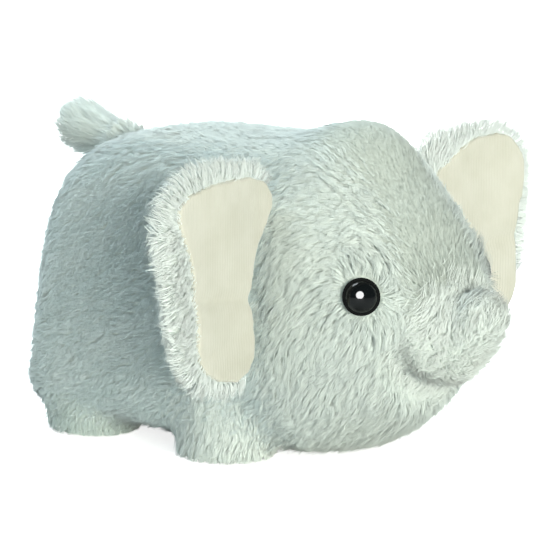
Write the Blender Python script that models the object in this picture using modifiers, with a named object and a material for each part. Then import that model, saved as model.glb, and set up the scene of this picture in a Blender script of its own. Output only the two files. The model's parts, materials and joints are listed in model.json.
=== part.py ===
"""A stuffed elephant in long-pile plush, built from sewn panels, wads of stuffing and safety eyes.

It stands on its soles at z = 0 and faces -Y, so its right side is -X. All lengths are in metres.
"""

import math

import bmesh
import bpy
from mathutils import Matrix, Vector
from mathutils.bvhtree import BVHTree

# Skin and clearances
SKIN = 0.0035
GAP = 0.0004
SEAM_GAP = 0.0006

# Where the ears are sewn on, across the length of the toy. The other lengths are given ahead of it.
NECK_Y = -0.0518

# The loaf of body and head, as sections from the rump to the brow:
# ahead of the neck, half width, underside height, top height, squareness, sag of the width
LOAF = (
    (-0.181, 0.048, 0.018, 0.080, 2.8, 0.20),
    (-0.176, 0.067, 0.010, 0.115, 3.3, 0.26),
    (-0.163, 0.076, 0.006, 0.151, 3.9, 0.26),
    (-0.138, 0.079, 0.007, 0.170, 4.1, 0.22),
    (-0.095, 0.079, 0.006, 0.174, 3.9, 0.20),
    (-0.045, 0.076, 0.006, 0.173, 3.4, 0.15),
    (-0.012, 0.072, 0.005, 0.176, 2.8, 0.10),
    (0.014, 0.073, 0.003, 0.185, 2.4, 0.10),
    (0.038, 0.067, 0.004, 0.180, 2.1, 0.10),
    (0.057, 0.053, 0.016, 0.160, 2.0, 0.10),
    (0.070, 0.036, 0.034, 0.135, 2.0, 0.10),
    (0.075, 0.018, 0.053, 0.113, 2.0, 0.10),
)
LOAF_POINTS = 16

# Seams between the panels
BODY_SEAM_X = 0.040
HEAD_SEAM_X = 0.031
RUMP_SEAM = -0.142
BELLY_SEAM_Z = 0.090
FAR = 0.4

# Legs: name, ahead of the neck, radius
LEGS = (("front", -0.042, 0.029), ("rear", -0.139, 0.027))
LEG_X = 0.046
LEG_TOP = 0.048
SLEEVE_HEM = 0.0010
SOLE = 0.0040
LEG_STEPS = 24
BALL_STEPS = 24

# Round ends of tubes: rings in each, and how far the last ring stays short of the pole, in steps
ROUND_STEPS = 5
ROUND_SHORT = 0.25

# Trunk: a stout tube that runs ahead and turns up, wider than it is high, on a ball let into the face
# It thins from the first thickness to the second, part of it before the bend and the rest along it
TRUNK_ROOT = (0.060, 0.073)
TRUNK_BALL = 0.030
TRUNK_WIDER = 1.25
TRUNK_BEND = (0.0725, 0.0895)
TRUNK_BEND_RADIUS = 0.0195
TRUNK_BEND_END = math.radians(72)
TRUNK_THICK = (0.0215, 0.0145)
TRUNK_THINNED = 0.35
TRUNK_BEND_STEPS = 6

# Tail: a stub on a ball let into the top of the rump
TAIL_ROOT = (-0.1560, 0.1560)
TAIL_BALL = 0.0165
TAIL_LENGTH = 0.0395
TAIL_RISE = math.radians(18)
TAIL_THICK = (0.0120, 0.0150)

# Ears: half round in the rim, hung on their root seam
EAR_X = 0.0805
EAR_SWEEP = math.radians(7)
EAR_ROUND = 0.0045
EAR_OUTLINE = (
    (0.000, 0.138), (-0.007, 0.147), (-0.008, 0.157), (0.002, 0.165), (0.030, 0.168), (0.052, 0.166),
    (0.067, 0.157), (0.072, 0.144), (0.071, 0.128), (0.067, 0.108), (0.064, 0.084), (0.058, 0.066),
    (0.045, 0.056), (0.026, 0.053), (0.010, 0.055), (0.000, 0.060),
)
LINING_OUTLINE = (
    (0.000, 0.138), (0.007, 0.151), (0.026, 0.160), (0.048, 0.158), (0.061, 0.150), (0.0635, 0.140),
    (0.062, 0.128), (0.0585, 0.108), (0.0555, 0.084), (0.049, 0.068), (0.030, 0.0605), (0.012, 0.0605),
    (0.000, 0.065),
)
LINING_THICK = 0.0030
LINING_FRONT = 0.0042

# Eyes: a domed button on a ribbed shank, a dark backing and a locking washer
EYE_AHEAD = 0.0545
EYE_Z = 0.0995
EYE_RADIUS = 0.0085
EYE_HEIGHT = 0.0052
BACKING_RADIUS = 0.0100
BACKING_THICK = 0.0010
SHANK_RADIUS = 0.0020
SHANK_LENGTH = 0.0105
WASHER_RADIUS = 0.0060
WASHER_THICK = 0.0014
WASHER_DEPTH = 0.0052

COLOURS = {
    "plush": ((0.62, 0.70, 0.66), 0.95),
    "brow": ((0.60, 0.67, 0.60), 0.90),
    "lining": ((0.83, 0.80, 0.68), 0.90),
    "fibre": ((0.90, 0.90, 0.88), 1.00),
    "eye": ((0.010, 0.010, 0.012), 0.08),
    "backing": ((0.015, 0.015, 0.015), 0.90),
    "washer": ((0.80, 0.80, 0.78), 0.45),
}


def clear_scene():
    for thing in list(bpy.data.objects):
        bpy.data.objects.remove(thing, do_unlink=True)


def add_collection(name):
    collection = bpy.data.collections.new(name)
    bpy.context.scene.collection.children.link(collection)
    return collection


def paint(thing, finish):
    """Gives a sub-part a material of its own, in one of the toy's finishes."""
    colour, roughness = COLOURS[finish]
    material = bpy.data.materials.new(thing.name)
    material.use_nodes = True
    shader = material.node_tree.nodes["Principled BSDF"]
    shader.inputs["Base Color"].default_value = (*colour, 1.0)
    shader.inputs["Roughness"].default_value = roughness
    shader.inputs["Metallic"].default_value = 0.0
    material.diffuse_color = (*colour, 1.0)
    thing.data.materials.clear()
    thing.data.materials.append(material)


def solid(name, shape, collection):
    """An object from a bmesh, which it frees."""
    shape.normal_update()
    bmesh.ops.recalc_face_normals(shape, faces=shape.faces)
    if shape.calc_volume(signed=True) < 0:
        bmesh.ops.reverse_faces(shape, faces=shape.faces)
    mesh = bpy.data.meshes.new(name)
    shape.to_mesh(mesh)
    shape.free()
    thing = bpy.data.objects.new(name, mesh)
    collection.objects.link(thing)
    return thing


def bake(thing):
    """Applies every modifier, and turns a curve into a mesh."""
    bpy.context.view_layer.update()
    graph = bpy.context.evaluated_depsgraph_get()
    mesh = bpy.data.meshes.new_from_object(thing.evaluated_get(graph))
    if thing.type == "MESH":
        thing.modifiers.clear()
        thing.data = mesh
        return thing
    name, place, collections = thing.name, thing.matrix_world.copy(), thing.users_collection
    bpy.data.objects.remove(thing)
    shape = bmesh.new()
    shape.from_mesh(mesh)
    bmesh.ops.remove_doubles(shape, verts=shape.verts, dist=1e-6)
    baked = solid(name, shape, collections[0])
    baked.matrix_world = place
    return baked


def combine(thing, other, operation):
    """Adds, cuts or keeps the common part of another solid, which stays where it is."""
    boolean = thing.modifiers.new(operation, "BOOLEAN")
    boolean.operation = operation
    boolean.solver = "EXACT"
    boolean.object = other
    return bake(thing)


def copy_of(thing, name, collection):
    twin = thing.copy()
    twin.data = thing.data.copy()
    twin.name = name
    collection.objects.link(twin)
    return twin


def block(low, high):
    """A box cutter between two corners."""
    shape = bmesh.new()
    bmesh.ops.create_cube(shape, size=1.0)
    size = [b - a for a, b in zip(low, high)]
    middle = [(a + b) / 2 for a, b in zip(low, high)]
    shape.transform(Matrix.Translation(middle) @ Matrix.Diagonal((*size, 1.0)))
    return solid("block", shape, cutters)


def ball(centre, radius, wider=1.0):
    shape = bmesh.new()
    bmesh.ops.create_uvsphere(shape, u_segments=BALL_STEPS, v_segments=BALL_STEPS // 2, radius=radius)
    turn = Matrix.Rotation(math.pi / 2, 4, "Y")
    shape.transform(Matrix.Translation(centre) @ Matrix.Diagonal((wider, 1.0, 1.0, 1.0)) @ turn)
    return solid("ball", shape, cutters)


def rod(start, end, radius, steps, collection, name="rod"):
    """A round bar between two points."""
    line = Vector(end) - Vector(start)
    shape = bmesh.new()
    bmesh.ops.create_cone(
        shape, cap_ends=True, segments=steps, radius1=radius, radius2=radius, depth=line.length
    )
    middle = (Vector(start) + Vector(end)) / 2
    shape.transform(Matrix.Translation(middle) @ line.to_track_quat("Z", "Y").to_matrix().to_4x4())
    return solid(name, shape, collection)


def rounded(value, squareness):
    return math.copysign(abs(value) ** (2 / squareness), value)


def loaf(name, growth):
    """The loaf of body and head, grown outwards or inwards along its normals."""
    shape = bmesh.new()
    rings = []
    for ahead, half_width, low, high, squareness, sag in LOAF:
        ring = []
        for step in range(LOAF_POINTS):
            angle = 2 * math.pi * (step + 0.5) / LOAF_POINTS
            up = rounded(math.sin(angle), squareness)
            across = rounded(math.cos(angle), squareness) * (1 - sag * up / 2)
            height = (low + high) / 2 + up * (high - low) / 2
            ring.append(shape.verts.new((half_width * across, NECK_Y - ahead, height)))
        rings.append(ring)
    for ring, following in zip(rings, rings[1:]):
        for step in range(LOAF_POINTS):
            after = (step + 1) % LOAF_POINTS
            shape.faces.new((ring[step], ring[after], following[after], following[step]))
    shape.faces.new(rings[0])
    shape.faces.new(rings[-1])
    thing = solid(name, shape, cutters)
    smooth = thing.modifiers.new("smooth", "SUBSURF")
    smooth.levels = smooth.render_levels = 1
    bake(thing)
    for vertex in thing.data.vertices:
        vertex.co += vertex.normal * growth
    thing.data.update()
    return thing


def tube(name, stations, wider=1.0):
    """A tube through (ahead, height, radius) stations on the middle plane."""
    curve = bpy.data.curves.new(name, "CURVE")
    curve.dimensions = "3D"
    curve.bevel_depth = 1.0
    curve.bevel_resolution = 3
    curve.use_fill_caps = True
    curve.twist_mode = "Z_UP"
    spline = curve.splines.new("POLY")
    spline.points.add(len(stations) - 1)
    for point, (ahead, height, radius) in zip(spline.points, stations):
        point.co = (0.0, NECK_Y - ahead, height, 1.0)
        point.radius = radius
    thing = bpy.data.objects.new(name, curve)
    cutters.objects.link(thing)
    thing = bake(thing)
    thing.data.transform(Matrix.Diagonal((wider, 1.0, 1.0, 1.0)))
    return thing


def round_end(ahead, height, direction, radius, thin):
    """Stations that close a tube with a half ball, ending just short of its pole."""
    stations = []
    for step in range(1, ROUND_STEPS + 1):
        angle = math.pi / 2 * step / (ROUND_STEPS + ROUND_SHORT)
        along = radius * math.sin(angle)
        stations.append(
            (
                ahead + along * math.cos(direction),
                height + along * math.sin(direction),
                radius * math.cos(angle) - thin * math.cos(angle),
            )
        )
    return stations


def trunk_stations(thin):
    """From the root, ahead along the underside of the bend, then up round it. `thin` takes the skin off."""
    start, end = TRUNK_THICK
    stations = [(TRUNK_ROOT[0] - 2 * thin, TRUNK_ROOT[1], start - thin)]
    for step in range(TRUNK_BEND_STEPS + 1):
        share = step / TRUNK_BEND_STEPS
        angle = -math.pi / 2 + share * (math.pi / 2 + TRUNK_BEND_END - math.pi / 2)
        radius = start + (end - start) * (TRUNK_THINNED + (1 - TRUNK_THINNED) * share)
        stations.append(
            (
                TRUNK_BEND[0] + TRUNK_BEND_RADIUS * math.cos(angle),
                TRUNK_BEND[1] + TRUNK_BEND_RADIUS * math.sin(angle),
                radius - thin,
            )
        )
    ahead, height, _ = stations[-1]
    return stations + round_end(ahead, height, TRUNK_BEND_END, end - thin / 2, thin / 2)


def tail_stations(thin):
    start, end = TAIL_THICK
    direction = math.pi - TAIL_RISE
    stations = []
    for share in (-2 * thin / TAIL_LENGTH, 0.5, 1.0):
        along = TAIL_LENGTH * share
        stations.append(
            (
                TAIL_ROOT[0] + along * math.cos(direction),
                TAIL_ROOT[1] + along * math.sin(direction),
                start + (end - start) * share - thin,
            )
        )
    ahead, height, _ = stations[-1]
    return stations + round_end(ahead, height, direction, end - thin / 2, thin / 2)


def pad(name, outline, thickness, rim, growth=0.0):
    """A flat pad in the XZ plane from an outline that is smooth except along its root."""
    curve = bpy.data.curves.new(name, "CURVE")
    curve.dimensions = "2D"
    curve.fill_mode = "BOTH"
    curve.extrude = thickness / 2
    curve.bevel_depth = rim
    curve.bevel_resolution = 2
    curve.offset = growth
    curve.resolution_u = 3
    spline = curve.splines.new("BEZIER")
    spline.bezier_points.add(len(outline) - 1)
    spline.use_cyclic_u = True
    for point, (x, z) in zip(spline.bezier_points, outline):
        point.co = (x, z, 0.0)
        point.handle_left_type = point.handle_right_type = "AUTO"
    spline.bezier_points[0].handle_left_type = "VECTOR"
    spline.bezier_points[-1].handle_right_type = "VECTOR"
    thing = bpy.data.objects.new(name, curve)
    toy.objects.link(thing)
    thing = bake(thing)
    thing.data.transform(Matrix.Rotation(math.pi / 2, 4, "X"))
    return thing


def piece(source, name, finish, keep=(), cut=()):
    """A sub-part: the part of a solid that lies in every `keep` cutter and outside every `cut` one."""
    thing = copy_of(source, name, toy)
    for cutter in keep:
        combine(thing, cutter, "INTERSECT")
    for cutter in cut:
        combine(thing, cutter, "DIFFERENCE")
    paint(thing, finish)
    shade(thing)
    return thing


def shade(thing):
    for face in thing.data.polygons:
        face.use_smooth = True
    thing.data.set_sharp_from_angle(angle=math.radians(35))


def put_origin(thing, place):
    """Moves the origin to a joint without moving the shape."""
    thing.data.transform(Matrix.Translation(-Vector(place)))
    thing.location = place


def at(x, ahead, height):
    return Vector((x, NECK_Y - ahead, height))


def make_skins_and_stuffing():
    half = SEAM_GAP / 2
    neck, rump = NECK_Y, NECK_Y - RUMP_SEAM
    body_slab = ((-FAR, neck + half, -FAR), (FAR, rump - half, FAR))
    for sign, side in ((-1, "right"), (1, "left")):
        seams = sorted((sign * (BODY_SEAM_X + half), sign * FAR))
        region = block((seams[0], body_slab[0][1], -FAR), (seams[1], body_slab[1][1], FAR))
        piece(skin_form, "body_side_" + side, "plush", (region,))
        seams = sorted((sign * (HEAD_SEAM_X + half), sign * FAR))
        region = block((seams[0], -FAR, -FAR), (seams[1], neck - half, FAR))
        piece(skin_form, "head_side_" + side, "plush", (region,))
    width = BODY_SEAM_X - half
    region = block((-width, body_slab[0][1], BELLY_SEAM_Z), (width, body_slab[1][1], FAR))
    piece(skin_form, "back_strip", "plush", (region,))
    region = block((-width, body_slab[0][1], -FAR), (width, body_slab[1][1], BELLY_SEAM_Z))
    piece(skin_form, "belly_panel", "plush", (region,))
    region = block((-FAR, rump + half, -FAR), (FAR, FAR, FAR))
    piece(skin_form, "rump_panel", "plush", (region,))
    width = HEAD_SEAM_X - half
    region = block((-width, -FAR, TRUNK_ROOT[1]), (width, neck - half, FAR))
    piece(skin_form, "brow_strip", "brow", (region,))
    region = block((-width, -FAR, -FAR), (width, neck - half, TRUNK_ROOT[1]))
    piece(skin_form, "chin_panel", "plush", (region,))
    region = block((-FAR, neck + half, -FAR), (FAR, FAR, FAR))
    piece(stuffing_form, "body_stuffing", "fibre", (region,))
    region = block((-FAR, -FAR, -FAR), (FAR, neck - half, FAR))
    piece(stuffing_form, "head_stuffing", "fibre", (region,))


def make_leg(name, x, ahead, radius):
    """A stub leg that meets the underside of the body: a sleeve, a flat sole and a wad of stuffing."""
    foot = at(x, ahead, 0.0)
    up = Vector((0, 0, 1))
    inside = radius - SKIN
    outer = rod(foot + up * SLEEVE_HEM, foot + up * LEG_TOP, radius, LEG_STEPS, cutters)
    soften = outer.modifiers.new("soften", "BEVEL")
    soften.width = 0.0028
    soften.segments = 2
    soften.angle_limit = math.radians(60)
    bake(outer)
    bore = rod(foot - up * SOLE, foot + up * FAR, inside, LEG_STEPS, cutters)
    piece(outer, name + "_sleeve", "plush", (), (bore, clear_form))
    sole = rod(foot, foot + up * SOLE, inside - GAP, LEG_STEPS, cutters)
    piece(sole, name + "_sole", "plush")
    wad = rod(foot + up * (SOLE + GAP), foot + up * LEG_TOP, inside - GAP, LEG_STEPS, cutters)
    piece(wad, name + "_stuffing", "fibre", (), (clear_form,))


def make_stub(name, stations_of, root, radius, wider):
    """A stuffed limb that springs from a ball in a recess: two skin halves on one wad."""
    centre = at(0.0, *root)
    layers = []
    for layer, thin in (("outer", 0.0), ("inner", SKIN), ("core", SKIN + GAP)):
        form = tube(name + "_" + layer, stations_of(thin), wider)
        layers.append(combine(form, ball(centre, radius - thin, wider), "UNION"))
    outer, inner, core = layers
    wad = piece(core, name + "_stuffing", "fibre")
    put_origin(wad, centre)
    outwards = sorted((centre.y, math.copysign(FAR, -root[0])))
    for sign, side in ((-1, "right"), (1, "left")):
        reach = sorted((sign * SEAM_GAP / 2, sign * FAR))
        region = block((reach[0], outwards[0], -FAR), (reach[1], outwards[1], FAR))
        half = piece(outer, name + "_side_" + side, "plush", (region,), (inner,))
        put_origin(half, centre)


def make_ear(side, sign):
    """A fur pad with a pocket in its front for the lining, swept a little forward about its root."""
    hinge = at(sign * EAR_X, 0.0, 0.0)
    back = pad("ear_" + side + "_back", EAR_OUTLINE, 0.0, EAR_ROUND)
    lining = pad("ear_" + side + "_lining", LINING_OUTLINE, LINING_THICK, 0.0)
    lift = Matrix.Translation((0, -(LINING_FRONT - LINING_THICK / 2), 0))
    lining.data.transform(lift)
    pocket = pad("pocket", LINING_OUTLINE, 2 * FAR, 0.0, GAP)
    pocket.data.transform(Matrix.Translation((0, -FAR - LINING_FRONT + LINING_THICK + GAP, 0)))
    mouth_low = (-FAR, -FAR, LINING_OUTLINE[-1][1] - GAP)
    mouth_high = (GAP, -LINING_FRONT + LINING_THICK + GAP, LINING_OUTLINE[0][1] + GAP)
    mouth = block(mouth_low, mouth_high)
    combine(back, pocket, "DIFFERENCE")
    combine(back, mouth, "DIFFERENCE")
    bpy.data.objects.remove(pocket)
    for thing, finish in ((back, "plush"), (lining, "lining")):
        if sign < 0:
            thing.data.transform(Matrix.Diagonal((-1.0, 1.0, 1.0, 1.0)))
            thing.data.flip_normals()
        thing.data.transform(Matrix.Rotation(-sign * EAR_SWEEP, 4, "Z"))
        thing.location = hinge
        paint(thing, finish)
        shade(thing)


def eye_seat(side, sign):
    """Where the eye sits on the cheek, and the way it looks."""
    tree = BVHTree.FromObject(outer_form, bpy.context.evaluated_depsgraph_get())
    start = at(sign * FAR, EYE_AHEAD, EYE_Z)
    place, normal, _, _ = tree.ray_cast(start, Vector((-sign, 0, 0)))
    return place, normal.normalized()


def make_eye(side, sign):
    place, normal = eye_seat(side, sign)
    base = place + normal * (GAP * 2 + BACKING_THICK)
    turn = normal.to_track_quat("Z", "Y").to_matrix().to_4x4()
    dome = bmesh.new()
    bmesh.ops.create_uvsphere(dome, u_segments=24, v_segments=16, radius=EYE_RADIUS)
    flat = EYE_HEIGHT / EYE_RADIUS
    dome.transform(Matrix.Translation(base) @ turn @ Matrix.Diagonal((1.0, 1.0, flat, 1.0)))
    dome = solid("dome", dome, cutters)
    below = rod(base, base - normal * EYE_RADIUS * 2, EYE_RADIUS * 2, 16, cutters)
    combine(dome, below, "DIFFERENCE")
    shank = rod(base + normal * EYE_HEIGHT / 2, base - normal * SHANK_LENGTH, SHANK_RADIUS, 16, cutters)
    combine(dome, shank, "UNION")
    piece(dome, "eye_" + side, "eye")
    hole = rod(place + normal * 0.02, place - normal * (SHANK_LENGTH + GAP), SHANK_RADIUS + GAP, 16, cutters)
    disc = rod(place + normal * GAP, place + normal * (GAP + BACKING_THICK), BACKING_RADIUS, 32, cutters)
    piece(disc, "eye_" + side + "_backing", "backing", (), (hole,))
    top = place - normal * WASHER_DEPTH
    washer = rod(top, top - normal * WASHER_THICK, WASHER_RADIUS, 24, cutters)
    piece(washer, "eye_" + side + "_washer", "washer", (), (hole,))
    room = rod(place, top - normal * (WASHER_THICK + GAP), WASHER_RADIUS + GAP, 24, cutters)
    combine(skin_form, hole, "DIFFERENCE")
    combine(stuffing_form, room, "DIFFERENCE")
    combine(stuffing_form, hole, "DIFFERENCE")


clear_scene()
toy = add_collection("stuffed_elephant")
cutters = add_collection("cutters")

outer_form = loaf("outer_form", 0.0)
inner_form = loaf("inner_form", -SKIN)
stuffing_form = loaf("stuffing_form", -SKIN - GAP)
clear_form = loaf("clear_form", GAP)
skin_form = copy_of(outer_form, "skin_form", cutters)
combine(skin_form, inner_form, "DIFFERENCE")
for socket in (
    ball(at(0.0, *TRUNK_ROOT), TRUNK_BALL + 2 * GAP, TRUNK_WIDER),
    ball(at(0.0, *TAIL_ROOT), TAIL_BALL + 2 * GAP),
):
    combine(skin_form, socket, "DIFFERENCE")
    combine(stuffing_form, socket, "DIFFERENCE")

for eye_sign, eye_side in ((-1, "right"), (1, "left")):
    make_eye(eye_side, eye_sign)
make_skins_and_stuffing()
for leg_name, leg_ahead, leg_radius in LEGS:
    for leg_sign, leg_side in ((-1, "right"), (1, "left")):
        make_leg("leg_" + leg_name + "_" + leg_side, leg_sign * LEG_X, leg_ahead, leg_radius)
make_stub("trunk", trunk_stations, TRUNK_ROOT, TRUNK_BALL, TRUNK_WIDER)
make_stub("tail", tail_stations, TAIL_ROOT, TAIL_BALL, 1.0)
for ear_sign, ear_side in ((-1, "right"), (1, "left")):
    make_ear(ear_side, ear_sign)

for helper in cutters.objects:
    helper.hide_render = True
    helper.display_type = "WIRE"
print(len(toy.objects), "sub-parts")
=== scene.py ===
import json
import math

import bpy
import numpy as np
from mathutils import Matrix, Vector
from mathutils.bvhtree import BVHTree
from mathutils.kdtree import KDTree

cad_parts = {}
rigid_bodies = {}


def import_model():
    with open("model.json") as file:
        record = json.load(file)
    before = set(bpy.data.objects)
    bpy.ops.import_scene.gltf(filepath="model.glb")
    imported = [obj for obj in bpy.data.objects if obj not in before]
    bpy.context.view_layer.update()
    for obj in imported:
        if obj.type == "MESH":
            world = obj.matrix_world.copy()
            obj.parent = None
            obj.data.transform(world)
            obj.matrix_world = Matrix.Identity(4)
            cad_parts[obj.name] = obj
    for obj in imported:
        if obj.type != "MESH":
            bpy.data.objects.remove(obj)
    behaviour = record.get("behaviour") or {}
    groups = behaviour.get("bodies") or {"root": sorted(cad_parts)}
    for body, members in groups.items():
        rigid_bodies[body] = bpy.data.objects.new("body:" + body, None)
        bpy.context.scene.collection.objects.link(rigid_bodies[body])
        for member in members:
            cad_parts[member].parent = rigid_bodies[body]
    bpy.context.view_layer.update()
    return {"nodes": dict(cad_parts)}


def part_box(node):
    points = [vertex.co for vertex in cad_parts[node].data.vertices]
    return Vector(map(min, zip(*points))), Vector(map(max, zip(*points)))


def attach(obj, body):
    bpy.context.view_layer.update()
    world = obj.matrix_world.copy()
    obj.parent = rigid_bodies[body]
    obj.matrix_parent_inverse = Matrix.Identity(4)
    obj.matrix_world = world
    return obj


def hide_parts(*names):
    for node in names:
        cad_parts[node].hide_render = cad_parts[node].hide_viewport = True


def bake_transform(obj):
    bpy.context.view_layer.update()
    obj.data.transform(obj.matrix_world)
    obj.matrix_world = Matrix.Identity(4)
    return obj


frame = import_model()
print("frame loaded")

neckPlace = -0.0518  # where head and body meet, along y
sideWord = {"right": -1, "left": 1}  # which way each side lies along x


def deselectAll():
    bpy.ops.object.select_all(action="DESELECT")


def choose(piece):
    deselectAll()
    piece.select_set(True)
    bpy.context.view_layer.objects.active = piece


def unit(rows):
    return rows / np.maximum(np.linalg.norm(rows, axis=1, keepdims=True), 1e-9)


def smoothStep(low, high, value):
    t = np.clip((value - low) / (high - low), 0, 1)
    return t * t * (3 - 2 * t)


def wander(places, size, seed, ways=3):
    # slow wavy noise between about -1 and 1, made of seven sines, one column for each way
    rng = np.random.default_rng(seed)
    total = np.zeros((len(places), ways))
    for turn in range(7):
        wave = rng.normal(size=(3, ways)) * (2 * math.pi / size) * 0.55
        total += np.sin(places @ wave + rng.uniform(0, 6.28, ways))
    return total / 2.6


def treeOf(piece):
    mesh = piece.data
    return BVHTree.FromPolygons(
        [v.co for v in mesh.vertices], [tuple(f.vertices) for f in mesh.polygons]
    )


upwards = Vector((0.013, 0.007, 1)).normalized()  # a little off upright, to miss the edges
pastTheCloth = Vector((0.0, 0.0, 0.00002))


def isInside(tree, place):
    # a point is inside where a ray upwards crosses the cover an odd number of times
    crossings = 0
    start = place.copy()
    for turn in range(12):
        spot = tree.ray_cast(start, upwards)[0]
        if spot is None:
            break
        crossings += 1
        start = spot + pastTheCloth
    return crossings % 2 == 1


def newMaterial(name, roughness, sheen=0.0, specular=0.3):
    material = bpy.data.materials.new(name)
    material.use_nodes = True
    shader = material.node_tree.nodes["Principled BSDF"]
    shader.inputs["Roughness"].default_value = roughness
    shader.inputs["Sheen Weight"].default_value = sheen
    shader.inputs["Sheen Roughness"].default_value = 0.5
    shader.inputs["Specular IOR Level"].default_value = specular
    return material, material.node_tree, shader


def addNoise(tree, scale, detail=3.0, stretch=(1, 1, 1)):
    place = tree.nodes.new("ShaderNodeTexCoord")
    mapping = tree.nodes.new("ShaderNodeMapping")
    noise = tree.nodes.new("ShaderNodeTexNoise")
    mapping.inputs["Scale"].default_value = stretch
    noise.inputs["Scale"].default_value = scale
    noise.inputs["Detail"].default_value = detail
    tree.links.new(place.outputs["Object"], mapping.inputs["Vector"])
    tree.links.new(mapping.outputs["Vector"], noise.inputs["Vector"])
    return noise.outputs["Fac"]


def addRamp(tree, value, stops):
    ramp = tree.nodes.new("ShaderNodeValToRGB")
    ramp.color_ramp.elements[0].position = stops[0][0]
    ramp.color_ramp.elements[0].color = (*stops[0][1], 1)
    ramp.color_ramp.elements[1].position = stops[-1][0]
    ramp.color_ramp.elements[1].color = (*stops[-1][1], 1)
    for at, colour in stops[1:-1]:
        ramp.color_ramp.elements.new(at).color = (*colour, 1)
    tree.links.new(value, ramp.inputs["Fac"])
    return ramp.outputs["Color"]


def addBump(tree, shader, value, strength, distance):
    bump = tree.nodes.new("ShaderNodeBump")
    bump.inputs["Strength"].default_value = strength
    bump.inputs["Distance"].default_value = distance
    tree.links.new(value, bump.inputs["Height"])
    tree.links.new(bump.outputs["Normal"], shader.inputs["Normal"])


# the knitted ground that the pile grows from
ground = {
    "dark": (0.60, 0.68, 0.64),
    "light": (0.72, 0.79, 0.73),
    "knit": 900,
    "roughness": 0.95,
    "sheen": 0.3,
    "bump": 0.4,
    "bumpHeight": 0.0006,
}


def makeGroundCloth(name, paler=1.0):
    material, tree, shader = newMaterial(
        name, ground["roughness"], sheen=ground["sheen"], specular=0.1
    )
    knit = addNoise(tree, ground["knit"], 4)
    dark = tuple(c * paler for c in ground["dark"])
    light = tuple(c * paler for c in ground["light"])
    tree.links.new(addRamp(tree, knit, [(0.35, dark), (0.65, light)]), shader.inputs["Base Color"])
    addBump(tree, shader, knit, ground["bump"], ground["bumpHeight"])
    return material


# the pile: each list runs from the deepest tone to the palest
pile = {
    "plush": [(0.63, 0.70, 0.66), (0.65, 0.72, 0.68), (0.68, 0.75, 0.70), (0.71, 0.78, 0.73)],
    # the next tones are the plush tones made darker and bluer: painted shade for the flanks and
    # rump
    "shade": [(0.50, 0.59, 0.57), (0.53, 0.62, 0.60), (0.57, 0.65, 0.63), (0.61, 0.69, 0.66)],
    "brow": [(0.55, 0.61, 0.55), (0.56, 0.62, 0.56), (0.57, 0.63, 0.57), (0.58, 0.64, 0.58)],
    # the hind legs' tones, darker still: painted shade
    "hindShade": [(0.47, 0.56, 0.52), (0.50, 0.59, 0.55), (0.53, 0.62, 0.57), (0.56, 0.64, 0.59)],
    "nose": [(0.68, 0.74, 0.70), (0.70, 0.76, 0.72), (0.72, 0.78, 0.74), (0.75, 0.81, 0.76)],
    "pale": [(0.74, 0.80, 0.77), (0.76, 0.82, 0.79), (0.78, 0.84, 0.81), (0.80, 0.86, 0.83)],
    "dark": [(0.004, 0.005, 0.005), (0.005, 0.006, 0.006), (0.007, 0.008, 0.008),
             (0.010, 0.011, 0.011)],
    "sheen": 0.25,
    "roughness": 0.9,
}


def makePileTones(name):
    tones = []
    for step, colour in enumerate(pile[name]):
        sheen = 0.0 if name == "dark" else pile["sheen"]
        material, tree, shader = newMaterial(
            name + "Pile" + str(step), pile["roughness"], sheen, 0.05
        )
        shader.inputs["Base Color"].default_value = (*colour, 1)
        tones.append(material)
    return tones


groundCloth = makeGroundCloth("groundCloth")
soleCloth = makeGroundCloth("soleCloth", paler=1.08)
toneNames = ("plush", "shade", "hindShade", "brow", "nose", "pale", "dark")
tones = {name: makePileTones(name) for name in toneNames}

velour = {
    "shade": (0.48, 0.470, 0.390),
    "cream": (0.53, 0.520, 0.445),
    "blotches": 55,
    "ribs": 143.312,
    "ribWaver": 1.5,
    "bump": 0.25,
    "bumpHeight": 0.0004,
}


def makeVelour():
    material, tree, shader = newMaterial("creamVelour", 0.85, sheen=0.4, specular=0.15)
    blotch = addNoise(tree, velour["blotches"], 4)
    colour = addRamp(tree, blotch, [(0.3, velour["shade"]), (0.62, velour["cream"])])
    tree.links.new(colour, shader.inputs["Base Color"])
    place = tree.nodes.new("ShaderNodeTexCoord")
    ribs = tree.nodes.new("ShaderNodeTexWave")
    ribs.bands_direction = "X"
    ribs.inputs["Scale"].default_value = velour["ribs"]
    ribs.inputs["Distortion"].default_value = velour["ribWaver"]
    tree.links.new(place.outputs["Object"], ribs.inputs["Vector"])
    addBump(tree, shader, ribs.outputs["Fac"], velour["bump"], velour["bumpHeight"])
    return material


eyeFinish = {
    "black": (0.002, 0.0025, 0.0025),
    "gloss": 0.06,
    "felt": (0.004, 0.0045, 0.0045),
    "feltPaler": 2.2,
    "feltGrain": 1800,
}


def makeEyeGloss():
    material, tree, shader = newMaterial("blackEyeGloss", eyeFinish["gloss"], specular=0.32)
    shader.inputs["Base Color"].default_value = (*eyeFinish["black"], 1)
    addBump(tree, shader, addNoise(tree, 60, 1), 0.01, 0.0002)
    return material


def makeDarkFelt():
    material, tree, shader = newMaterial("darkFelt", 0.95, specular=0.05)
    grain = addNoise(tree, eyeFinish["feltGrain"], 4)
    black = eyeFinish["felt"]
    grey = tuple(c * eyeFinish["feltPaler"] for c in black)
    tree.links.new(addRamp(tree, grain, [(0.3, black), (0.7, grey)]), shader.inputs["Base Color"])
    addBump(tree, shader, grain, 0.6, 0.0005)
    return material


washer = {"shade": (0.70, 0.70, 0.68), "white": (0.78, 0.78, 0.76), "cloud": 120}


def makeWasherPlastic():
    material, tree, shader = newMaterial("washerWhite", 0.45, specular=0.4)
    cloud = addNoise(tree, washer["cloud"], 3)
    colour = addRamp(tree, cloud, [(0.3, washer["shade"]), (0.7, washer["white"])])
    tree.links.new(colour, shader.inputs["Base Color"])
    return material


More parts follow.
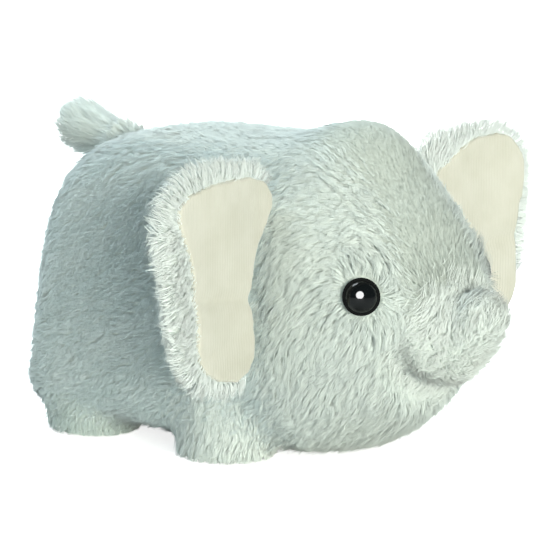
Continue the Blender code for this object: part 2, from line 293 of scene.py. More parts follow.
velourCloth = makeVelour()
eyeGloss = makeEyeGloss()
darkFelt = makeDarkFelt()
washerWhite = makeWasherPlastic()
print("finishes made")

# turn and rise are degrees; right and up shift the picture in metres
view = {
    "target": (0.0, -0.027, 0.084),
    "turn": 50,
    "rise": 10,
    "distance": 1.6,
    "right": -0.0143,
    "up": 0.00825,
    "lens": 187,
}


def placeCamera():
    turn, rise = math.radians(view["turn"]), math.radians(view["rise"])
    back = Vector(
        (-math.sin(turn) * math.cos(rise), -math.cos(turn) * math.cos(rise), math.sin(rise))
    )
    right = Vector((math.cos(turn), -math.sin(turn), 0))
    up = back.cross(right)
    camera = bpy.data.objects.new("camera", bpy.data.cameras.new("camera"))
    bpy.context.scene.collection.objects.link(camera)
    camera.data.lens = view["lens"]
    camera.data.clip_end = 50
    camera.location = (
        Vector(view["target"]) + back * view["distance"] + right * view["right"] + up * view["up"]
    )
    camera.rotation_mode = "QUATERNION"
    camera.rotation_quaternion = (-back).to_track_quat("-Z", "Y")
    bpy.context.scene.camera = camera


lights = {
    # name: place, size across, power, colour
    "topBox": ((-0.30, 0.75, 1.60), 0.9, 27, (0.86, 0.95, 1.0)),
    "backBox": ((1.30, 0.95, 0.55), 1.0, 16, (0.94, 0.98, 1.0)),
    "eyeBox": ((-1.25, -0.9, 0.42), 0.95, 80, (1.0, 1.0, 1.0)),
}
key = {
    "turn": 25,
    "rise": 4,
    "away": 2,
    "softness": 40,
    "power": 6.5,
    "colour": (1.0, 0.985, 0.89),
}
ambient = {"colour": (0.68, 0.91, 1.0), "strength": 0.25}
lightsAim = Vector((0, -0.03, 0.09))


def hangLight(name, lamp, place):
    holder = bpy.data.objects.new(name, lamp)
    bpy.context.scene.collection.objects.link(holder)
    holder.location = place
    holder.rotation_mode = "QUATERNION"
    holder.rotation_quaternion = (lightsAim - Vector(place)).to_track_quat("-Z", "Y")
    return holder


def placeLights():
    for name, (place, across, power, colour) in lights.items():
        lamp = bpy.data.lights.new(name, "AREA")
        lamp.shape = "DISK"
        lamp.size = across
        lamp.energy = power
        lamp.color = colour
        holder = hangLight(name, lamp, place)
        holder.visible_diffuse = name != "eyeBox"  # this one only makes the glint in the eyes
    lamp = bpy.data.lights.new("keyLight", "SUN")
    lamp.angle = math.radians(key["softness"])
    lamp.energy = key["power"]
    lamp.color = key["colour"]
    turn, rise = math.radians(key["turn"]), math.radians(key["rise"])
    place = (
        -key["away"] * math.sin(turn) * math.cos(rise),
        -key["away"] * math.cos(turn) * math.cos(rise),
        key["away"] * math.sin(rise),
    )
    hangLight("keyLight", lamp, place).visible_glossy = False


def makeSky():
    # a white studio wall to look at, and a softer, cooler fill to light with
    world = bpy.data.worlds.new("studio")
    bpy.context.scene.world = world
    world.use_nodes = True
    nodes, links = world.node_tree.nodes, world.node_tree.links
    nodes.clear()
    out = nodes.new("ShaderNodeOutputWorld")
    mix = nodes.new("ShaderNodeMixShader")
    fill = nodes.new("ShaderNodeBackground")
    wall = nodes.new("ShaderNodeBackground")
    path = nodes.new("ShaderNodeLightPath")
    fill.inputs["Color"].default_value = (*ambient["colour"], 1)
    fill.inputs["Strength"].default_value = ambient["strength"]
    wall.inputs["Color"].default_value = (1, 1, 1, 1)
    links.new(path.outputs["Is Camera Ray"], mix.inputs["Fac"])
    links.new(fill.outputs["Background"], mix.inputs[1])
    links.new(wall.outputs["Background"], mix.inputs[2])
    links.new(mix.outputs["Shader"], out.inputs["Surface"])


floor = {"size": 12.0, "colour": (0.84, 0.84, 0.82), "glow": 0.80}


def layFloor():
    deselectAll()
    bpy.ops.mesh.primitive_plane_add(size=floor["size"], location=(0, 0, 0))
    sheet = bpy.context.object
    sheet.name = "floor"
    material, tree, shader = newMaterial("paleFloor", 0.8, specular=0.1)
    shader.inputs["Base Color"].default_value = (*floor["colour"], 1)
    # the studio floor looks bright, and throws back only a little light
    shader.inputs["Emission Color"].default_value = (1, 1, 1, 1)
    path = tree.nodes.new("ShaderNodeLightPath")
    glow = tree.nodes.new("ShaderNodeMath")
    glow.operation = "MULTIPLY"
    glow.inputs[1].default_value = floor["glow"]
    tree.links.new(path.outputs["Is Camera Ray"], glow.inputs[0])
    tree.links.new(glow.outputs["Value"], shader.inputs["Emission Strength"])
    sheet.data.materials.append(material)


placeCamera()
placeLights()
makeSky()
layFloor()
bpy.context.scene.view_settings.view_transform = "Standard"
print("camera, light and floor placed")

panels = {
    "body": ["back_strip", "belly_panel", "body_side_left", "body_side_right", "rump_panel"],
    "head": ["head_side_left", "head_side_right", "brow_strip", "chin_panel"],
    "trunk": ["trunk_side_left", "trunk_side_right"],
    "tail": ["tail_side_left", "tail_side_right"],
}


def joinCopies(name, nodeNames):
    deselectAll()
    for nodeName in nodeNames:
        node = frame["nodes"][nodeName]
        copy = bpy.data.objects.new(name, node.data.copy())
        bpy.context.scene.collection.objects.link(copy)
        copy.data.materials.clear()
        copy.select_set(True)
        bpy.context.view_layer.objects.active = copy
    if len(nodeNames) > 1:
        bpy.ops.object.join()
    piece = bpy.context.view_layer.objects.active
    piece.name = name
    bpy.ops.object.mode_set(mode="EDIT")
    bpy.ops.mesh.select_all(action="SELECT")
    bpy.ops.mesh.remove_doubles(threshold=0.00002)
    bpy.ops.object.mode_set(mode="OBJECT")
    return piece


def applyModifier(piece, kind, **settings):
    choose(piece)
    modifier = piece.modifiers.new(kind.lower(), kind)
    for key, value in settings.items():
        setattr(modifier, key, value)
    bpy.ops.object.modifier_apply(modifier=modifier.name)


def remesh(piece, size):
    choose(piece)
    piece.data.remesh_voxel_size = size
    bpy.ops.object.voxel_remesh()


def dress(piece, cloth):
    choose(piece)
    piece.data.materials.append(cloth)
    bpy.ops.object.shade_smooth()


def readPoints(mesh, what="co"):
    rows = np.empty(len(mesh.vertices) * 3)
    mesh.vertices.foreach_get(what, rows)
    return rows.reshape(-1, 3)


def writePoints(mesh, points):
    mesh.vertices.foreach_set("co", np.asarray(points, np.float32).ravel())
    mesh.update()


def findSeams(piece, nodeNames, width):
    # a point is on a seam where two panels are nearly as close as each other
    trees = [treeOf(frame["nodes"][name]) for name in nodeNames]
    seams = []
    for vertex in piece.data.vertices:
        gaps = sorted(tree.find_nearest(vertex.co)[3] for tree in trees)
        if gaps[1] - gaps[0] < width:
            seams.append(vertex.index)
    return seams


weave = {"frames": 20, "quality": 5, "mass": 0.2, "stretch": 12, "bending": 0.4}


def stuff(piece, pinned, cap, pressure):
    # blow the cover up a little between its seams, and keep what it gives
    mesh = piece.data
    before = readPoints(mesh)
    group = piece.vertex_groups.new(name="seam")
    group.add(pinned, 1.0, "REPLACE")
    cloth = piece.modifiers.new("cloth", "CLOTH")
    cloth.settings.quality = weave["quality"]
    cloth.settings.mass = weave["mass"]
    cloth.settings.tension_stiffness = weave["stretch"]
    cloth.settings.compression_stiffness = weave["stretch"]
    cloth.settings.bending_stiffness = weave["bending"]
    cloth.settings.use_pressure = True
    cloth.settings.uniform_pressure_force = pressure
    cloth.settings.effector_weights.gravity = 0
    cloth.settings.vertex_group_mass = "seam"
    cloth.collision_settings.use_collision = False
    for step in range(1, weave["frames"] + 1):
        bpy.context.scene.frame_set(step)
    shaped = piece.evaluated_get(bpy.context.evaluated_depsgraph_get())
    moved = readPoints(shaped.data) - before
    far = np.linalg.norm(moved, axis=1, keepdims=True)
    moved *= np.minimum(1, cap / np.maximum(far, 1e-9))
    piece.modifiers.remove(cloth)
    bpy.context.scene.frame_set(1)
    writePoints(mesh, before + moved)
    piece.vertex_groups.clear()


skins = {
    # voxel: size of the remesh; inset: how deep the cover starts; rise: most it may swell;
    # seam: how wide the sewn line that doesn't swell is
    "loaf": {"voxel": 0.0036, "inset": 0.0032, "rise": 0.0028, "seam": 0.0028, "pressure": 4},
    "tail": {"voxel": 0.0030, "inset": 0.0038, "rise": 0.0012, "seam": 0.0018, "pressure": 4},
}
lowestCover = 0.0022


def makeSkin(name, kind, outer, inner, sewn, shape):
    settings = skins[kind]
    piece = joinCopies(name, outer + inner)
    remesh(piece, settings["voxel"])
    applyModifier(piece, "SMOOTH", factor=0.5, iterations=3)
    applyModifier(piece, "DISPLACE", strength=-settings["inset"], mid_level=0)
    applyModifier(piece, "SMOOTH", factor=0.5, iterations=2)
    shape(piece)
    pinned = findSeams(piece, sewn, settings["seam"])
    stuff(piece, pinned, settings["rise"], settings["pressure"])
    applyModifier(piece, "SUBSURF", levels=1, render_levels=1)
    points = readPoints(piece.data)
    points[:, 2] = np.maximum(points[:, 2], lowestCover)
    writePoints(piece.data, points)
    dress(piece, groundCloth)
    print(name, "made,", len(piece.data.polygons), "faces")
    return piece


corners = ("front_left", "front_right", "rear_left", "rear_right")
sleeves = ["leg_" + corner + "_sleeve" for corner in corners]
soles = ["leg_" + corner + "_sole" for corner in corners]
wads = ["leg_" + corner + "_stuffing" for corner in corners]


def middleOf(node):
    low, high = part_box(node)
    return (np.array(low) + np.array(high)) / 2


hips = {"reach": 0.046, "low": 0.011, "high": 0.055, "passes": 14}


def softenLegs(piece):
    # the legs run into the belly and flanks in a soft curve
    points = readPoints(piece.data)
    group = piece.vertex_groups.new(name="hip")
    for sleeve in sleeves:
        across = points[:, :2] - middleOf(sleeve)[:2]
        near = np.linalg.norm(across, axis=1) < hips["reach"]
        level = (points[:, 2] > hips["low"]) & (points[:, 2] < hips["high"])
        chosen = np.nonzero(near & level)[0]
        group.add([int(index) for index in chosen], 1.0, "REPLACE")
    applyModifier(piece, "SMOOTH", factor=0.5, iterations=hips["passes"], vertex_group="hip")
    piece.vertex_groups.clear()


trunkRoot = np.array((0.0, neckPlace - 0.060, 0.073))
# a low mound round the trunk's root, and the tuck under it; a pair gives a start and a full place
muzzle = {
    "height": 0.0100,
    "wider": 1.2,
    "middle": 0.004,
    "start": 0.024,
    "fade": 0.014,
    "ahead": (0.030, 0.055),
    "above": (-0.012, 0.010),
    "tuck": 0.0056,
    "tuckWidth": 0.0060,
    "tuckTop": 0.012,
    "tuckFade": 0.015,
}


def raiseMuzzle(piece):
    # the face swells into a low mound round the root of the trunk
    points = readPoints(piece.data)
    height = points[:, 2] - trunkRoot[2]
    across = np.hypot(points[:, 0] / muzzle["wider"], height - muzzle["middle"])
    ahead = smoothStep(*muzzle["ahead"], neckPlace - points[:, 1])
    fade = np.exp(-((np.maximum(across - muzzle["start"], 0) / muzzle["fade"]) ** 2))
    above = smoothStep(*muzzle["above"], height)
    points[:, 1] -= muzzle["height"] * fade * ahead * above
    writePoints(piece.data, points)


def tuckTrunk(piece):
    # the cover is drawn in where the underside of the trunk meets the chin
    mesh = piece.data
    points = readPoints(mesh)
    normals = readPoints(mesh, "normal")
    trunkTrees = [treeOf(frame["nodes"][name]) for name in panels["trunk"]]
    faceTrees = [treeOf(frame["nodes"][name]) for name in panels["head"]]
    top = trunkRoot[2] + muzzle["tuckTop"]
    nearby = (points[:, 1] < neckPlace - muzzle["ahead"][0]) & (points[:, 2] < top)
    for index in np.nonzero(nearby)[0]:
        spot = Vector(points[index])
        toTrunk = min(tree.find_nearest(spot)[3] for tree in trunkTrees)
        toFace = min(tree.find_nearest(spot)[3] for tree in faceTrees)
        apart = (toTrunk - toFace) / muzzle["tuckWidth"]
        side = min(1.0, max(0.0, (top - spot.z) / muzzle["tuckFade"]))
        points[index] -= normals[index] * muzzle["tuck"] * math.exp(-apart * apart) * side
    writePoints(mesh, points)


def softenFace(piece):
    softenLegs(piece)
    raiseMuzzle(piece)
    tuckTrunk(piece)
    fillSwells(piece)


swells = {
    # where the toy is stuffed fuller than its panels were cut: middle, reach and push
    "crown": ((0, neckPlace - 0.012, 0.175), (0.042, 0.030, 0.040), (0, 0, 0.0052)),
    "templeLeft": ((0.046, neckPlace - 0.014, 0.160), (0.026, 0.030, 0.024), (-0.003, 0, -0.005)),
    "templeRight": ((-0.046, neckPlace - 0.014, 0.160), (0.026, 0.030, 0.024), (0.003, 0, -0.005)),
    "brow": ((0, neckPlace - 0.052, 0.158), (0.070, 0.028, 0.030), (0, 0.0060, -0.0055)),
    "back": ((0, neckPlace + 0.095, 0.165), (0.070, 0.090, 0.030), (0, 0, 0.0018)),
    "belly": ((0, neckPlace + 0.050, 0.022), (0.090, 0.060, 0.016), (0, 0, -0.0080)),
    "jowl": ((0, neckPlace - 0.008, 0.022), (0.085, 0.022, 0.014), (0, 0, -0.0055)),
    "chin": ((0, neckPlace - 0.052, 0.020), (0.060, 0.036, 0.024), (0, 0.0020, 0.0045)),
    "rump": ((0, neckPlace + 0.205, 0.100), (0.090, 0.050, 0.060), (0, -0.0065, 0)),
    "hip": ((-0.05, neckPlace + 0.190, 0.155), (0.100, 0.040, 0.025), (0, 0.0030, 0.0030)),
    "seat": ((0, neckPlace + 0.200, 0.016), (0.120, 0.060, 0.020), (0, 0.0120, -0.0020)),
}

# the trunk is stuffed short and round: its tip is drawn back, its underside hangs lower;
# each pair gives where that starts and where it is full
trunkNib = {
    "reach": 0.040,
    "back": 0.0080,
    "backAhead": (0.050, 0.102),
    "drop": 0.0115,
    "dropAhead": (0.066, 0.085),
    "dropBelow": (0.010, -0.020),
    "dropAbove": (0.042, 0.060),
}


def fillSwells(piece):
    points = readPoints(piece.data)
    ahead = neckPlace - points[:, 1]
    near = np.exp(-((points[:, 0] / trunkNib["reach"]) ** 2))
    under = smoothStep(*trunkNib["dropBelow"], points[:, 2] - trunkRoot[2])
    under *= smoothStep(*trunkNib["dropAbove"], points[:, 2])
    back = trunkNib["back"] * smoothStep(*trunkNib["backAhead"], ahead) * near
    points[:, 1] += back
    ahead -= back
    drop = trunkNib["drop"] * smoothStep(*trunkNib["dropAhead"], ahead)
    points[:, 2] -= drop * under * near
    total = np.zeros_like(points)
    for place, reach, push in swells.values():
        away = (points - np.array(place)) / np.array(reach)
        total += np.exp(-np.sum(away**2, axis=1))[:, None] * np.array(push)
    writePoints(piece.data, points + total)


parting = 0.0002  # half the gap between two covers that were cut apart


def cutAt(piece, name, place, keepAhead):
    # keep one side of an upright cut across the toy, closed with a flat face
    part = bpy.data.objects.new(name, piece.data.copy())
    bpy.context.scene.collection.objects.link(part)
    choose(part)
    bpy.ops.object.mode_set(mode="EDIT")
    bpy.ops.mesh.select_all(action="SELECT")
    bpy.ops.mesh.bisect(
        plane_co=(0, place, 0), plane_no=(0, 1, 0), use_fill=True,
        clear_outer=keepAhead, clear_inner=not keepAhead,
    )
    bpy.ops.object.mode_set(mode="OBJECT")
    return part


# the whole toy but its ears and tail is blown up in one, then parted at the neck and the trunk
loafPanels = panels["body"] + panels["head"]
wholeSkin = makeSkin(
    "whole_cover", "loaf", loafPanels + panels["trunk"] + sleeves + soles,
    ["body_stuffing", "head_stuffing", "trunk_stuffing"] + wads, loafPanels, softenFace,
)
trunkCut = neckPlace - 0.080
bodySkin = cutAt(wholeSkin, "body_cover", neckPlace + parting, False)
faceSkin = cutAt(wholeSkin, "face_cover", neckPlace - parting, True)
headSkin = cutAt(faceSkin, "head_cover", trunkCut, False)
trunkSkin = cutAt(faceSkin, "trunk_cover", trunkCut - parting, True)
bpy.data.objects.remove(faceSkin)
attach(bodySkin, "body")
for piece in (headSkin, trunkSkin):
    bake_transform(piece)
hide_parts(*panels["body"], *sleeves, *wads, "body_stuffing")
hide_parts("head_side_left", "head_side_right", "chin_panel", "head_stuffing")
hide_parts("trunk_side_left", "trunk_side_right", "trunk_stuffing")


tailDroop = {"from": neckPlace + 0.150, "to": neckPlace + 0.200, "down": 0.0034, "in": 0.0020}


def lowerTail(piece):
    # the tail droops a little towards its tip
    points = readPoints(piece.data)
    along = smoothStep(tailDroop["from"], tailDroop["to"], points[:, 1])
    points[:, 2] -= tailDroop["down"] * along
    points[:, 1] -= tailDroop["in"] * along
    writePoints(piece.data, points)


tailSkin = makeSkin(
    "tail_cover", "tail", panels["tail"], ["tail_stuffing"], panels["tail"], lowerTail
)

solePad = {"voxel": 0.002, "inset": 0.0007}

for sole in soles:
    pad = joinCopies(sole + "_pad", [sole])
    remesh(pad, solePad["voxel"])
    applyModifier(pad, "SMOOTH", factor=0.5, iterations=2)
    applyModifier(pad, "DISPLACE", strength=-solePad["inset"], mid_level=0)
    applyModifier(pad, "SUBSURF", levels=1, render_levels=1)
    dress(pad, soleCloth)
    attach(pad, "body")
    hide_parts(sole)
print("covers made")

ears = {
    # outlines run round the ear: distance out from the middle of the toy, then height
    "axis": 0.0805,
    "sweep": 7,
    "cover": [(0.072, 0.138), (0.067, 0.148), (0.068, 0.158), (0.080, 0.165), (0.110, 0.168),
              (0.135, 0.167), (0.151, 0.158), (0.1565, 0.144), (0.1560, 0.128), (0.1520, 0.108),
              (0.1475, 0.084), (0.140, 0.067), (0.126, 0.057), (0.106, 0.053), (0.088, 0.052),
              (0.077, 0.058), (0.074, 0.072), (0.078, 0.087), (0.0800, 0.100), (0.077, 0.112),
              (0.073, 0.125)],
    "lining": {
        "right": [(0.098, 0.1615), (0.118, 0.1610), (0.1355, 0.1580), (0.1450, 0.1530),
                  (0.1475, 0.147), (0.1450, 0.1406), (0.1425, 0.1343), (0.1388, 0.128),
                  (0.1365, 0.1217), (0.1355, 0.1153), (0.1353, 0.109), (0.1350, 0.1027),
                  (0.1325, 0.0963), (0.1315, 0.090), (0.1315, 0.0837), (0.1315, 0.0773),
                  (0.1300, 0.071), (0.1244, 0.0640), (0.112, 0.0575), (0.096, 0.0545),
                  (0.086, 0.0575), (0.0800, 0.065), (0.0790, 0.076), (0.081, 0.087),
                  (0.0835, 0.097), (0.0815, 0.106), (0.079, 0.115), (0.074, 0.125),
                  (0.067, 0.134), (0.0605, 0.143), (0.0610, 0.1500), (0.068, 0.1570),
                  (0.082, 0.1610)],
        "left": [(0.080, 0.147), (0.091, 0.1535), (0.101, 0.1600), (0.113, 0.1635),
                 (0.130, 0.1645), (0.140, 0.1620), (0.1475, 0.1550), (0.1505, 0.1470),
                 (0.1505, 0.140), (0.150, 0.131), (0.1475, 0.120), (0.1462, 0.110),
                 (0.1458, 0.100), (0.1465, 0.087), (0.1470, 0.075), (0.1450, 0.067),
                 (0.138, 0.060), (0.120, 0.056), (0.098, 0.055), (0.080, 0.058),
                 (0.077, 0.076), (0.080, 0.097), (0.076, 0.115), (0.077, 0.134)],
    },
    "coverDepth": (-0.0034, 0.0026),
    "liningDepth": (0.0012, 0.0040),
    "coverVoxel": 0.0030,
    "liningVoxel": 0.0017,
    "puff": 0.0014,
    "pressure": 3,
}
sweepSine = math.sin(math.radians(ears["sweep"]))
sweepCosine = math.cos(math.radians(ears["sweep"]))
creases = {
    # across the lining: height in the middle, slope, depth and width
    "waist": (0.098, 0.12, 0.0016, 0.0040),
    "below": (0.078, -0.20, 0.0007, 0.0035),
}
liningSwell = {"height": 0.0021, "uneven": 0.0006, "patch": 0.045, "middle": 0.095}
earSkins, linings = {}, {}


def earPlace(side, out, height, ahead):
    # from the ear's own flat plane to its place on the toy
    far = out - ears["axis"]
    x = sideWord[side] * (ears["axis"] + far * sweepCosine - ahead * sweepSine)
    y = neckPlace - far * sweepSine - ahead * sweepCosine
    return x, y, height


def cutShape(name, side, outline, depth, voxel):
    # a cut shape of cloth, given its thickness, then rounded over
    deselectAll()
    bpy.ops.mesh.primitive_circle_add(vertices=len(outline), radius=0.1, fill_type="NGON")
    piece = bpy.context.object
    piece.name = name
    for vertex, (out, height) in zip(piece.data.vertices, outline):
        vertex.co = earPlace(side, out, height, depth[0])
    behind, front = (Vector(earPlace(side, 0.1, 0, ahead)) for ahead in depth)
    bpy.ops.object.mode_set(mode="EDIT")
    bpy.ops.mesh.select_all(action="SELECT")
    bpy.ops.mesh.extrude_region_move(TRANSFORM_OT_translate={"value": front - behind})
    bpy.ops.mesh.select_all(action="SELECT")
    bpy.ops.mesh.normals_make_consistent(inside=False)
    bpy.ops.object.mode_set(mode="OBJECT")
    remesh(piece, voxel)
    applyModifier(piece, "SMOOTH", factor=0.5, iterations=6)
    return piece


def earRows(piece, side):
    # how far out and how far ahead each point is, in the ear's own plane
    points = readPoints(piece.data)
    x = points[:, 0] * sideWord[side] - ears["axis"]
    y = neckPlace - points[:, 1]
    out = x * sweepCosine + y * sweepSine + ears["axis"]
    ahead = y * sweepCosine - x * sweepSine
    return points, out, ahead


def makeEarSkin(side):
    piece = cutShape(
        "ear_" + side + "_cover", side, ears["cover"], ears["coverDepth"], ears["coverVoxel"]
    )
    stuff(piece, [], ears["puff"], ears["pressure"])
    applyModifier(piece, "SUBSURF", levels=1, render_levels=1)
    dress(piece, groundCloth)
    return piece


def makeLining(side):
    piece = cutShape(
        "ear_" + side + "_velour", side, ears["lining"][side], ears["liningDepth"],
        ears["liningVoxel"],
    )
    points, out, ahead = earRows(piece, side)
    # the cloth is pinched across the waist, with a second soft crease below it
    crease = np.zeros(len(points))
    for middle, slope, deep, wide in creases.values():
        above = points[:, 2] - middle - slope * (out - liningSwell["middle"])
        crease += deep * np.exp(-((above / wide) ** 2))
    uneven = wander(points, liningSwell["patch"], 41, 1)[:, 0]
    swell = liningSwell["height"] + liningSwell["uneven"] * uneven
    forward = (swell - crease) * smoothStep(0.0018, 0.0034, ahead)
    points[:, 0] -= sideWord[side] * sweepSine * forward
    points[:, 1] -= sweepCosine * forward
    writePoints(piece.data, points)
    applyModifier(piece, "SUBSURF", levels=1, render_levels=1)
    dress(piece, velourCloth)
    return piece


for side in ("left", "right"):
    linings[side] = makeLining(side)
    earSkins[side] = makeEarSkin(side)
    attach(linings[side], "ear_" + side)
    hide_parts("ear_" + side + "_lining")
    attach(earSkins[side], "ear_" + side)
    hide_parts("ear_" + side + "_back")
print("ears made")

for side in ("left", "right"):
    # the button is a smooth copy of its solid, so that the glint in it is round
    button = joinCopies("eye_" + side + "_button", ["eye_" + side])
    bpy.ops.object.mode_set(mode="EDIT")
    bpy.ops.mesh.select_all(action="SELECT")
    bpy.ops.mesh.dissolve_limited(angle_limit=math.radians(0.2))
    bpy.ops.object.mode_set(mode="OBJECT")
    applyModifier(button, "TRIANGULATE")
    choose(button)
    bpy.ops.object.shade_smooth_by_angle(angle=math.radians(40))
    button.data.materials.append(eyeGloss)
    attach(button, "body")
    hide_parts("eye_" + side)
    for ending, finish in (("_backing", darkFelt), ("_washer", washerWhite)):
        node = frame["nodes"]["eye_" + side + ending]
        node.data.materials.clear()
        node.data.materials.append(finish)
print("eyes finished")

eyeCentres = [middleOf("eye_left"), middleOf("eye_right")]


# each flow gives the way the pile is brushed at every root
def flowBody(places, normals):
    # back and flanks are brushed to the tail and down
    flow = np.zeros_like(places)
    flow[:, 0] = 0.5 * np.clip(places[:, 0] / 0.04, -1, 1)
    flow[:, 1] = 0.65
    flow[:, 2] = -0.65
    return flow


def flowFace(places, normals):
    # up over the brow, round the side of the head and down the cheeks,
    # turning away from the eyes and the trunk
    brow = 1 - smoothStep(0.016, 0.062, np.abs(places[:, 0]))
    brow *= smoothStep(0.075, 0.110, places[:, 2])
    flow = np.zeros_like(places)
    flow[:, 0] = np.clip(places[:, 0] / 0.03, -1, 1) * (0.5 + 0.4 * brow)
    flow[:, 1] = 0.30 + 0.35 * smoothStep(0.07, 0.14, places[:, 2])
    flow[:, 2] = 0.75 * brow - 0.9 * (1 - brow)
    for centre in eyeCentres:
        away = places - centre
        near = np.linalg.norm(away, axis=1, keepdims=True)
        pull = np.exp(-((near / 0.020) ** 2))
        flow = flow * (1 - pull) + unit(away) * pull * 1.1
    away = places - trunkRoot
    near = np.linalg.norm(away, axis=1, keepdims=True)
    pull = np.exp(-((near / 0.040) ** 2)) * 0.7
    return flow * (1 - pull) + unit(away) * pull


brushed = {"leg": (0, 0.2, -1.0), "trunk": (0, -0.55, 0.9), "tail": (0, 1.0, 0.4)}


def flowOneWay(part):
    return lambda places, normals: np.tile(brushed[part], (len(places), 1))


def earMiddle(places):
    # the ear's pile runs out from the middle of the ear
    side = np.sign(places[:, 0])
    middle = np.zeros_like(places)
    middle[:, 0] = side * np.clip(np.abs(places[:, 0]) * 0.55 + 0.040, 0.085, 0.125)
    middle[:, 1] = places[:, 1]
    middle[:, 2] = np.clip(places[:, 2], 0.080, 0.135)
    return middle


def flowEar(places, normals):
    # out over the rim in front, and down the back of the ear
    away = unit(places - earMiddle(places))
    away[:, 1] -= 0.25
    away[:, 2] -= 0.12
    down = np.zeros_like(places)
    down[:, 0] = 0.3 * np.sign(places[:, 0])
    down[:, 2] = -1.0
    behind = smoothStep(0.15, 0.6, normals[:, 1])[:, None]
    return away * (1 - behind) + down * behind


def standOnRim(roots, normals, length, lift):
    # the pile stands out from the rim, and lies closer behind it
    edge = 1 - smoothStep(0.3, 0.95, np.abs(normals[:, 1]))
    behind = smoothStep(0.2, 0.6, normals[:, 1])
    return length * (1 - 0.2 * behind), lift + 0.50 * edge - 0.12 * behind


def brushTail(roots, normals, length, lift):
    # the tail's pile is longer and looser towards its tip
    tip = smoothStep(neckPlace + 0.165, neckPlace + 0.190, roots[:, 1])
    return length * (1 + 0.35 * tip), lift * (1 + 0.3 * tip)


coats = {
    # dense: strands in a square centimetre; long, wide: metres; lift: how steeply they stand;
    # clump: share of the way a strand leans to its tuft; tuft: metres between tufts;
    # stray: how far strands turn off the brushed way; ruffle: how unlike the tufts are;
    # own: how far a strand is lit by its own shape and not by the cloth's; tilt: a lean of
    # the way the cloth faces, for its light only
    "back": {"dense": 130, "long": 0.0072, "wide": 0.00044, "lift": 0.46, "clump": 0.34,
             "tuft": 0.0028, "stray": 0.28, "tones": "plush"},
    # the flanks and rump grow in the shade tones, which are painted shade
    "flank": {"dense": 140, "long": 0.0072, "wide": 0.00042, "lift": 0.46, "clump": 0.34,
              "tuft": 0.0028, "stray": 0.28, "tones": "shade"},
    "rump": {"dense": 116, "long": 0.0070, "wide": 0.00048, "lift": 0.42, "clump": 0.34,
             "tuft": 0.0028, "stray": 0.28, "tones": "shade"},
    "cheek": {"dense": 195, "long": 0.0082, "wide": 0.00038, "lift": 0.42, "clump": 0.38,
              "tuft": 0.0030, "stray": 0.24, "tones": "plush"},
    "brow": {"dense": 205, "long": 0.0058, "wide": 0.00046, "lift": 0.30, "clump": 0.04,
             "tuft": 0.0026, "stray": 0.08, "tones": "brow", "ruffle": 0.2, "own": 0.08},
    "chin": {"dense": 120, "long": 0.0078, "wide": 0.00046, "lift": 0.42, "clump": 0.3,
             "tuft": 0.0035, "stray": 0.26, "tones": "plush"},
    "belly": {"dense": 45, "long": 0.0085, "wide": 0.00075, "lift": 0.5, "clump": 0.4,
              "tuft": 0.0050, "stray": 0.3, "tones": "plush"},
    "leg": {"dense": 150, "long": 0.0074, "wide": 0.00042, "lift": 0.46, "clump": 0.38,
            "tuft": 0.0030, "stray": 0.26, "tones": "plush"},
    # the hind legs' coat: the leg coat in the darker tones of painted shade
    "hindShade": {"dense": 150, "long": 0.0074, "wide": 0.00042, "lift": 0.46, "clump": 0.38,
             "tuft": 0.0030, "stray": 0.26, "tones": "hindShade"},
    "trunk": {"dense": 190, "long": 0.0080, "wide": 0.00038, "lift": 0.50, "clump": 0.30,
              "tuft": 0.0030, "stray": 0.24, "tones": "nose", "own": 0.14,
              "tilt": (-0.25, -0.35, 0)},
    "tail": {"dense": 170, "long": 0.0088, "wide": 0.00038, "lift": 0.42, "clump": 0.36,
             "tuft": 0.0032, "stray": 0.20, "tones": "plush"},
    "ear": {"dense": 165, "long": 0.0108, "wide": 0.00034, "lift": 0.46, "clump": 0.20,
            "tuft": 0.0028, "stray": 0.20, "tones": "pale", "ruffle": 0.5, "own": 0.14,
            "tilt": (0, -0.7, 0)},
    "fuzz": {"long": 0.0018, "wide": 0.00030, "lift": 0.5, "clump": 0.2,
             "tuft": 0.0015, "stray": 0.25, "tones": "dark"},
}


def scatter(piece, dense, seed):
    # roots spread evenly over the cover, with the cover's normal at each
    mesh = piece.data
    mesh.calc_loop_triangles()
    count = len(mesh.loop_triangles)
    corners = np.empty(count * 3, np.int32)
    mesh.loop_triangles.foreach_get("vertices", corners)
    corners = corners.reshape(-1, 3)
    points = readPoints(mesh)
    normals = readPoints(mesh, "normal")
    a, b, c = (points[corners[:, k]] for k in range(3))
    areas = np.linalg.norm(np.cross(b - a, c - a), axis=1) / 2
    total = np.cumsum(areas)
    amount = int(total[-1] * 10000 * dense)
    rng = np.random.default_rng(seed)
    picks = (np.arange(amount) + rng.uniform(0, 1, amount)) / amount * total[-1]
    face = np.minimum(np.searchsorted(total, picks), count - 1)
    u, v = rng.uniform(0, 1, (2, amount))
    over = u + v > 1
    u[over], v[over] = 1 - u[over], 1 - v[over]
    u, v = u[:, None], v[:, None]
    roots = a[face] * (1 - u - v) + b[face] * u + c[face] * v
    n = [normals[corners[face, k]] for k in range(3)]
    return roots, unit(n[0] * (1 - u - v) + n[1] * u + n[2] * v)


def findTufts(roots, spacing, rng):
    # thin the roots out to tuft middles, and give each root its nearest one
    order = rng.permutation(len(roots))
    cells = {}
    chosen = []
    for index in order[: max(50, len(roots) // 3)]:
        key = tuple(np.floor(roots[index] / spacing).astype(int))
        if key not in cells:
            cells[key] = index
            chosen.append(index)
    tree = KDTree(len(chosen))
    for slot, index in enumerate(chosen):
        tree.insert(roots[index], slot)
    tree.balance()
    nearest = np.array([tree.find(root)[1] for root in roots])
    return np.array(chosen), nearest


strand = {
    "bend": 0.42,  # share of a strand below its bend, and above it
    "rest": 0.58,
    "rise": 1.45,  # how much steeper than its lift it leaves the cloth, and goes on
    "droop": 0.55,
    "buried": 0.0006,
    "longer": 0.18,  # how much tufts differ in length and in lift
    "steeper": 0.22,
    "lowest": 0.0003,
}
